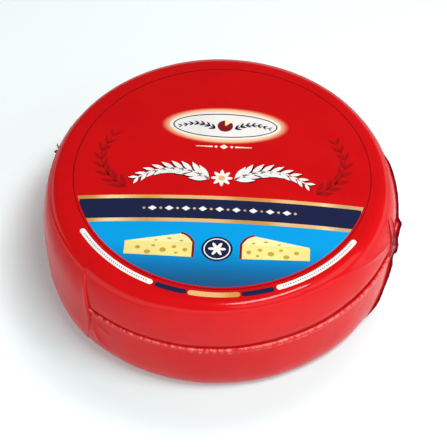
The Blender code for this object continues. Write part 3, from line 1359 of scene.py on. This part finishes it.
def glow_print(tree, place):
    x, y, z = tree.parts(place)
    across = (x - (PLAQUE[0] + LABEL_SHIFT) * MM) / (GLOW_HALF[0] * MM)
    upward = (y - PLAQUE[1] * MM) / (GLOW_HALF[1] * MM)
    away = (across * across + upward * upward).math("SQRT")
    return tree.blend(away.between(0.80, 1.0), GLOW_PEACH, FILM_RED)


PLAQUE = (0.0, 45.0)
GLOW_HALF = (46.5, 18.5)
GLOW_PEACH = (0.95, 0.62, 0.36, 1.0)
INK_COLOURS = {
    "white": plain((0.90, 0.88, 0.84, 1.0)),
    "cream": plain((0.92, 0.86, 0.70, 1.0)),
    "navy": plain((0.013, 0.018, 0.062, 1.0)),
    "gold": gold_print,
    "sky": sky_print,
    "glow": glow_print,
    "dark": plain((0.060, 0.004, 0.006, 1.0)),
    "shade": plain((0.36, 0.006, 0.007, 1.0)),
    "rind": plain((0.22, 0.012, 0.016, 1.0)),
    "cheese": plain((0.90, 0.76, 0.26, 1.0)),
    "light_cheese": plain((0.95, 0.86, 0.42, 1.0)),
    "hole": plain((0.55, 0.36, 0.06, 1.0)),
}
INK_ROUGHNESS, INK_COAT, INK_BUMP = 0.30, 0.35, 0.06
INKS = {
    ink: gloss_material(f"{ink}_ink", colour_of, INK_ROUGHNESS, INK_COAT, INK_BUMP)
    for ink, colour_of in INK_COLOURS.items()
}
print("mixed", len(INKS), "inks")

# %% [markdown]
# ## Ring, band and field
#
# A dashed ring frames the label. Below its middle a navy band with gold edges crosses it in a
# shallow arch, and a sky-blue field fills what is left.

# %% Print the ring, the band and the field
BAND_TOP = -23.0
BAND_DROP = 5.0
BAND_HEIGHT = 24.0
GOLD_EDGE = 3.2


def arch(offset):
    """The band's arch, shifted down by an offset, as a curve over x."""
    return lambda x: BAND_TOP - BAND_DROP * (x / 100.0) ** 2 - offset


def out_of_the_ring(x):
    """A curve that lies wholly below the ring, so the ring itself ends the field."""
    return -2 * RING_RADIUS


DASH = [(-0.8, -0.35), (0.8, -0.35), (0.8, 0.35), (-0.8, 0.35)]
label = {
    "label_ring": stamp_along(
        "label_ring", DASH, oval((0, 0), RING_RADIUS, RING_RADIUS, 360), 0, INKS["dark"],
        {"Count": 296}, True,
    ),
    "label_sky": press(
        "label_sky", [in_ring(arch(BAND_HEIGHT - 1.0), out_of_the_ring)], 0, INKS["sky"]
    ),
    "label_gold": press(
        "label_gold", [in_ring(arch(0.0), arch(BAND_HEIGHT))], 1, INKS["gold"]
    ),
    "label_band": press(
        "label_band", [in_ring(arch(GOLD_EDGE), arch(BAND_HEIGHT - GOLD_EDGE))], 2, INKS["navy"]
    ),
}

# %% [markdown]
# ## Sprigs, beads and the plaque
#
# Sprigs of leaves and rows of beads are the oldest of printers' ornaments. A large pair in
# white crosses the middle of the label over its own shade, a small pair in navy stands in the
# oval plaque, and a dark red pair lies tone on tone beside them.

# %% Print the ornaments
LEAF = smooth_line([(0, 0), (2.6, 1.15), (6.0, 1.35), (10.0, 0.0)], 8)
LEAF += smooth_line([(10.0, 0.0), (6.0, -1.35), (2.6, -1.15), (0, 0)], 8)[1:-1]
DIAMOND = [(-3.0, 0.0), (0.0, -2.2), (3.0, 0.0), (0.0, 2.2)]
BEAD = oval((0, 0), 1.0, 1.0, 20)


def rosette(middle, petals, radius, waist):
    loop = []
    for i in range(petals * 10):
        turn = 2 * math.pi * i / (petals * 10)
        reach = waist + (radius - waist) * (0.5 + 0.5 * math.cos(petals * turn))
        loop.append((middle[0] + reach * math.cos(turn), middle[1] + reach * math.sin(turn)))
    return loop


def sprig(name, stops, leaves, first_size, last_size, width, level, ink):
    """A stem through the stops with pairs of leaves, and the same mirrored at the left."""
    parts = []
    for number, side in enumerate((stops, mirrored(stops))):
        line = smooth_line(side)
        parts.append(press(f"{name}_stem_{number}", [stroke(line, width, width * 0.5)], level, ink))
        values = {"Count": leaves, "First Size": first_size, "Last Size": last_size}
        values.update({"Lean": math.radians(30.0), "Second Side": 1})
        parts.append(stamp_along(f"{name}_leaves_{number}", LEAF, line, level, ink, values))
    return joined(name, parts)


WHITE_STEM = [(9.0, -7.0), (20.0, -1.0), (34.0, 1.5), (48.0, -1.5), (58.0, -8.0)]
SHADE_SHIFT = (0.8, -0.9)
shade_stem = shifted(WHITE_STEM, *SHADE_SHIFT)
label["label_sprig_shade"] = sprig(
    "label_sprig_shade", shade_stem, 9, 1.45, 0.75, 2.0, 0, INKS["dark"]
)
label["label_sprig"] = sprig("label_sprig", WHITE_STEM, 9, 1.45, 0.75, 1.6, 1, INKS["white"])
FLOWER = (0.0, -6.0)
label["label_rosette"] = press(
    "label_rosette", [rosette(FLOWER, 8, 7.6, 4.2)], 1, INKS["white"]
)
label["label_rosette_eye"] = press(
    "label_rosette_eye", [oval(FLOWER, 2.3, 2.3)], 2, INKS["gold"]
)
TONE_STEM = [(66.0, -18.0), (80.0, -6.0), (86.0, 12.0), (80.0, 30.0)]
label["label_tone_sprig"] = sprig(
    "label_tone_sprig", TONE_STEM, 8, 1.3, 0.8, 1.2, 0, INKS["shade"]
)

label["label_glow"] = press("label_glow", [oval(PLAQUE, 46.0, 18.2, 96)], 0, INKS["glow"])
label["label_plaque"] = press("label_plaque", [oval(PLAQUE, 40.0, 13.6, 96)], 1, INKS["white"])
label["label_plaque_line"] = press(
    "label_plaque_line",
    [oval(PLAQUE, 37.6, 11.9, 96), oval(PLAQUE, 36.7, 11.0, 96)], 2, INKS["navy"],
)
label["label_plaque_sprig"] = sprig(
    "label_plaque_sprig", [(7.0, 42.0), (14.0, 45.5), (22.0, 46.5), (31.0, 44.0)],
    7, 0.55, 0.35, 0.8, 2, INKS["navy"],
)
WHEEL, WHEEL_RADIUS = (0.0, 44.6), 5.6
label["label_plaque_wheel"] = press(
    "label_plaque_wheel", [oval(WHEEL, WHEEL_RADIUS, WHEEL_RADIUS, 48)], 2, INKS["rind"]
)
WHEEL_CUT = [WHEEL, *arc(WHEEL_RADIUS, 40.0, 95.0, 12, WHEEL)]
label["label_plaque_cut"] = press("label_plaque_cut", [WHEEL_CUT], 3, INKS["light_cheese"])

DIVIDER_Y = 24.0
half_divider = [
    stroke([(8.0, DIVIDER_Y), (12.0, DIVIDER_Y), (20.0, DIVIDER_Y)], 1.4, 0.5),
    oval((5.6, DIVIDER_Y), 1.0, 1.0, 20),
]
DIVIDER = [*both_sides(half_divider), shifted(DIAMOND, 0.0, DIVIDER_Y)]
label["label_divider"] = press("label_divider", DIVIDER, 1, INKS["cream"])

DIAMOND_REACH, BEAD_REACH = 46.0, 51.75


def middle_of_band(reach):
    return [(x, arch(BAND_HEIGHT / 2)(x)) for x in spread(-reach, reach, 60)]


label["label_diamonds"] = stamp_along(
    "label_diamonds", DIAMOND, middle_of_band(DIAMOND_REACH), 3, INKS["white"], {"Count": 9}
)
label["label_beads"] = stamp_along(
    "label_beads", BEAD, middle_of_band(BEAD_REACH), 3, INKS["gold"], {"Count": 10}
)

# %% [markdown]
# ## Wedges on the field
#
# A wedge with round holes is how anyone draws cheese: a light top, a cut face, and a rim of rind.
# A pair of them faces outwards, with a plain round seal between.

# %% Print the wedges and the seal
TIP, BACK, CORNER = (-62.0, -66.0), (-25.0, -57.8), (-16.8, -65.2)
THICK, THINNER_AT_TIP = 12.6, 1.5
BELOW_TIP = (TIP[0], TIP[1] - THICK + THINNER_AT_TIP)
BELOW_CORNER = (CORNER[0], CORNER[1] - THICK)
RIND_CURVE = smooth_line([BACK, (-20.2, -60.4), CORNER], 8)
RIND_WIDTH = 3.3
HOLES = (  # x, y, half width, half height
    (-53.1, -71.1, 1.7, 1.5),
    (-46.4, -74.8, 2.1, 1.7),
    (-42.7, -69.3, 1.3, 1.0),
    (-36.1, -72.6, 2.2, 1.9),
    (-28.7, -69.7, 1.6, 1.3),
    (-27.2, -74.8, 1.2, 1.0),
    (-21.3, -71.9, 1.6, 1.6),
    (-32.4, -62.6, 1.7, 0.75),
    (-41.3, -64.5, 1.3, 0.6),
    (-24.2, -64.1, 1.3, 0.65),
)


WEDGE_PRINTS = {
    "rind": ([stroke([*RIND_CURVE, BELOW_CORNER], RIND_WIDTH, RIND_WIDTH)], 1, "rind"),
    "face": ([[TIP, CORNER, BELOW_CORNER, BELOW_TIP]], 2, "cheese"),
    "top": ([[TIP, *RIND_CURVE]], 2, "light_cheese"),
    "holes": ([oval(hole[:2], hole[2], hole[3], 28) for hole in HOLES], 3, "hole"),
}
for part, (loops, level, ink) in WEDGE_PRINTS.items():
    name = f"label_wedge_{part}"
    label[name] = press(name, both_sides(loops), level, INKS[ink])
SEAL, SEAL_RADIUS = (0.0, -70.0), 10.5
seal_disc, outside, inside = [
    oval(SEAL, radius, radius, 72) for radius in (SEAL_RADIUS, SEAL_RADIUS - 1.5, SEAL_RADIUS - 2.3)
]
SEAL_LINES = [outside, inside, rosette(SEAL, 6, 6.0, 2.4)]
label["label_seal"] = press("label_seal", [seal_disc], 1, INKS["navy"])
label["label_seal_line"] = press("label_seal_line", SEAL_LINES, 2, INKS["white"])

# %% [markdown]
# ## Pills on the rim
#
# Outside the ring, on the edge of the top, lie five bars with round ends: white, navy, gold,
# navy and white. The white ones hold a row of fine dots.

# %% Print the pills
PILL_RADIUS = 108.6
PILL_WIDTH = 4.0
PILLS = (
    ("white", -147.0, -113.0),
    ("navy", -110.0, -100.5),
    ("gold", -98.0, -82.0),
    ("navy", -79.5, -70.0),
    ("white", -67.0, -33.0),
)


def pill(start, end):
    """A bar along the rim, from one turn to another, with round ends."""
    half = PILL_WIDTH / 2
    outer = arc(PILL_RADIUS + half, start, end, 48)
    inner = arc(PILL_RADIUS - half, end, start, 48)
    far = arc(PILL_RADIUS, end, end, 2)[0]
    near = arc(PILL_RADIUS, start, start, 2)[0]
    far_cap = arc(half, end, end + 180.0, 12, far)[1:-1]
    near_cap = arc(half, start + 180.0, start + 360.0, 12, near)[1:-1]
    return outer + far_cap + inner + near_cap


for ink in ("white", "navy", "gold"):
    bars = [pill(start, end) for name, start, end in PILLS if name == ink]
    label[f"label_pills_{ink}"] = press(f"label_pills_{ink}", bars, 1, INKS[ink])
DOT = oval((0, 0), 0.42, 0.42, 10)
DOTS_PER_PILL, DOT_MARGIN = 34, 1.5
dots = []
for name, start, end in PILLS:
    if name == "white":
        row = arc(PILL_RADIUS, start + DOT_MARGIN, end - DOT_MARGIN, 40)
        count = {"Count": DOTS_PER_PILL}
        dots.append(stamp_along("pill_dots", DOT, row, 2, INKS["navy"], count))
label["label_pill_dots"] = joined("label_pill_dots", dots)
print("the label has", len(label), "prints")

# %% [markdown]
# ## The camera
#
# The camera stands a metre from the wheel and looks down at it by about 49 degrees, through a
# long lens, as product photographs are taken. Its roll is half a degree. The part's own front
# is turned 2.7 degrees from the camera's, so the whole rig is turned by that.

# %% Place the camera
RIG_TURN = math.radians(2.7)
CAMERA_PLACE = Vector((0.0, -0.65342, 0.80300))
CAMERA_AIM = Vector((0.00325, 0.0, 0.036))
CAMERA_ROLL = math.radians(0.57)
LENS = 111.06
SENSOR = 36.0


def rig_matrix(place, aim, roll):
    """Looks from a place at an aim, in the rig's own turned frame."""
    forward = (aim - place).normalized()
    level = forward.cross(Vector((0, 0, 1))).normalized()
    upright = level.cross(forward)
    right = math.cos(roll) * level + math.sin(roll) * upright
    up = -math.sin(roll) * level + math.cos(roll) * upright
    turned = Matrix((right, up, -forward)).transposed().to_4x4()
    turned.translation = place
    return Matrix.Rotation(RIG_TURN, 4, "Z") @ turned


lens = bpy.data.cameras.new("camera")
lens.lens = LENS
lens.sensor_width = SENSOR
lens.sensor_fit = "HORIZONTAL"
lens.clip_start = 0.01
lens.clip_end = 20.0
camera = bpy.data.objects.new("camera", lens)
bpy.context.scene.collection.objects.link(camera)
camera.matrix_world = rig_matrix(CAMERA_PLACE, CAMERA_AIM, CAMERA_ROLL)
bpy.context.scene.camera = camera
print("the camera stands at", [round(value, 3) for value in camera.matrix_world.translation])

# %% [markdown]
# ## The studio
#
# The wheel stands on a white sweep. Its gloss shows whatever is round it, so the room matters
# as much as the lamps: white near the horizon, which gives the flanks their pale edge, and
# nearly black overhead, so that the label stays deep red. A long strip lamp high at the front
# makes the band of light on the rim. Two weak soft lamps, lower at the front and at the right,
# lift the side. The floor glows a little, so it stays white, and its white leans to cyan against
# the red that the wheel throws onto it. Where the wheel stands, a grey patch shifted to the
# front left is a painted shadow on the floor, which also keeps the flanks from mirroring a
# bright floor.

# %% Floor, room and lamps
FLOOR_SIZE = 6.0
FLOOR_WHITE = (0.76, 0.86, 0.86, 1.0)
FLOOR_SHADOW_GREY = (0.48, 0.58, 0.58, 1.0)
SHADOW_MIDDLE = (-0.012, -0.022)
SHADOW_RADIUS = 0.118
WHITE_RADIUS = 0.165
FLOOR_GLOW = 0.26
LAMPS = (  # name, azimuth, elevation, distance, size, watts
    ("strip_lamp", -47.0, 66.0, 1.4, (0.75, 0.28), 17.5),
    ("front_lamp", -62.0, 36.0, 1.5, (0.9, 0.6), 3.0),
    ("right_lamp", -18.0, 36.0, 1.5, (0.9, 0.6), 3.5),
)
ROOM_BRIGHTNESS = 1.75
ROOM_GREYS = (  # by the sine of the elevation
    (0.0, (1.0, 1.0, 1.0)),
    (0.22, (1.0, 1.0, 1.0)),
    (0.30, (0.05, 0.05, 0.05)),
    (1.0, (0.03, 0.03, 0.03)),
)


def white_floor():
    mesh = bpy.data.meshes.new("floor")
    half = FLOOR_SIZE / 2
    corners = [(-half, -half, 0.0), (half, -half, 0.0), (half, half, 0.0), (-half, half, 0.0)]
    mesh.from_pydata(corners, [], [(0, 1, 2, 3)])
    material = bpy.data.materials.new("white_sweep")
    material.use_nodes = True
    shader = material.node_tree.nodes["Principled BSDF"]
    tree = Tree(material.node_tree)
    x, y, z = tree.parts(tree.node("ShaderNodeTexCoord", output="Object"))
    across, away = x - SHADOW_MIDDLE[0], y - SHADOW_MIDDLE[1]
    radius = (across * across + away * away).math("SQRT")
    # painted shadow: a grey patch where the wheel stands, shifted to the front left
    shade = tree.blend(radius.between(SHADOW_RADIUS, WHITE_RADIUS), FLOOR_SHADOW_GREY, FLOOR_WHITE)
    tree.plug(shader.inputs["Base Color"], shade)
    even = {
        "Roughness": 0.8,
        "Specular IOR Level": 0.1,
        "Emission Color": (1.0, 1.0, 1.0, 1.0),
        "Emission Strength": FLOOR_GLOW,
    }
    for label, value in even.items():
        shader.inputs[label].default_value = value
    mesh.materials.append(material)
    link("floor", mesh)


def room_light(stops):
    world = bpy.data.worlds.new("room")
    bpy.context.scene.world = world
    world.use_nodes = True
    tree = Tree(world.node_tree)
    background = world.node_tree.nodes["Background"]
    direction = tree.node("ShaderNodeTexCoord", output="Generated")
    side, away, up = tree.parts(direction)
    shade = tree.node("ShaderNodeValToRGB", {"stops": stops}, {"Fac": up})
    tree.plug(background.inputs["Color"], shade)
    background.inputs["Strength"].default_value = ROOM_BRIGHTNESS


def soft_lamp(name, azimuth, elevation, distance, size, watts):
    """A soft lamp that faces the wheel, at an azimuth and elevation in the rig's frame."""
    turn, tilt = math.radians(azimuth), math.radians(elevation)
    aim = Vector((0.0, 0.0, MIDDLE))
    level = math.cos(tilt)
    away = Vector((math.cos(turn) * level, math.sin(turn) * level, math.sin(tilt)))
    lamp = bpy.data.lights.new(name, "AREA")
    lamp.shape = "RECTANGLE"
    lamp.size, lamp.size_y = size
    lamp.energy = watts
    holder = bpy.data.objects.new(name, lamp)
    bpy.context.scene.collection.objects.link(holder)
    holder.matrix_world = rig_matrix(aim + away * distance, aim, 0.0)


white_floor()
room_light(ROOM_GREYS)
for lamp in LAMPS:
    soft_lamp(*lamp)
bpy.context.scene.view_settings.view_transform = "Standard"
bpy.context.scene.view_settings.look = "None"

# %% [markdown]
# ## Hand the pieces to the frame
#
# Every piece rides on the wheel's one body. The skins stand for the imported solid, which is then
# hidden.

# %% Ride, replace, finish
for piece in (film_upper, film_lower, side_panel, *ribbons):
    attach(piece, "root")
for name, piece in label.items():
    piece.name = name
    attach(piece, "root")
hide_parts("cheese_wheel")
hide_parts("cheese_wheel")
discard(FOLDS, UPPER_PROFILE, LOWER_PROFILE)
